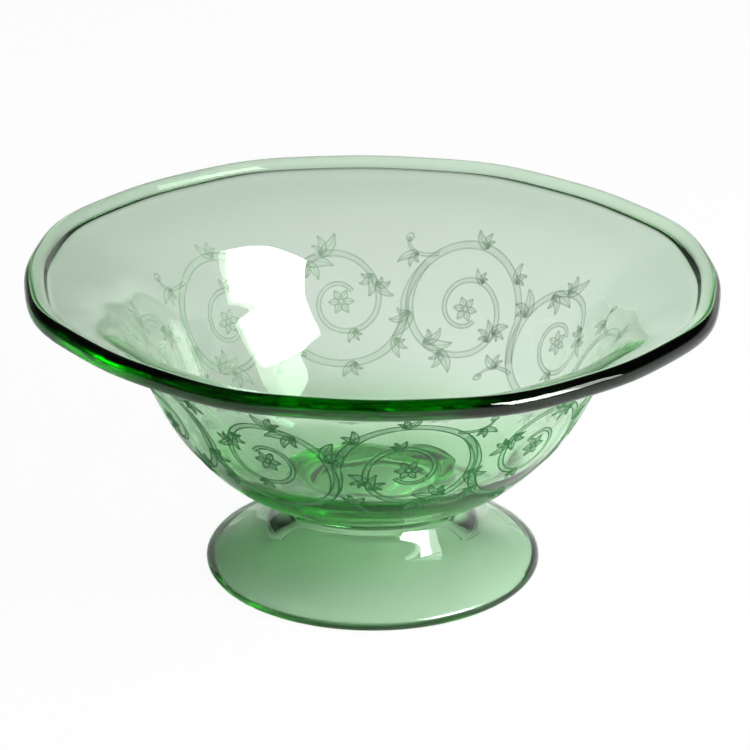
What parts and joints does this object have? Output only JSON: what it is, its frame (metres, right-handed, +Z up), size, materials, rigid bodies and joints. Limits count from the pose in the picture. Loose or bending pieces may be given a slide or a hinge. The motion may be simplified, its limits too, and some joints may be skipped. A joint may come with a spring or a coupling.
{
  "type": "mayonnaise bowl",
  "caption": "Footed mayonnaise bowl in clear green glass: flared bowl with a rounded, softly eight-sided lip, a short stem and a domed foot, hollow from below.",
  "frame": {"origin": "on the table surface, below the axis of the stem", "axes": "+Z up along the stem's axis, +X towards the side where the lip is lowest, +Y away from the viewer of the picture"},
  "size_m": [0.1494, 0.1494, 0.0703],
  "materials": {
    "green_glass": "clear, fire-polished, pale green"
  },
  "bodies": {
    "root": {"bowl": "green_glass", "stem": "green_glass", "foot": "green_glass"}
  },
  "joints": []
}
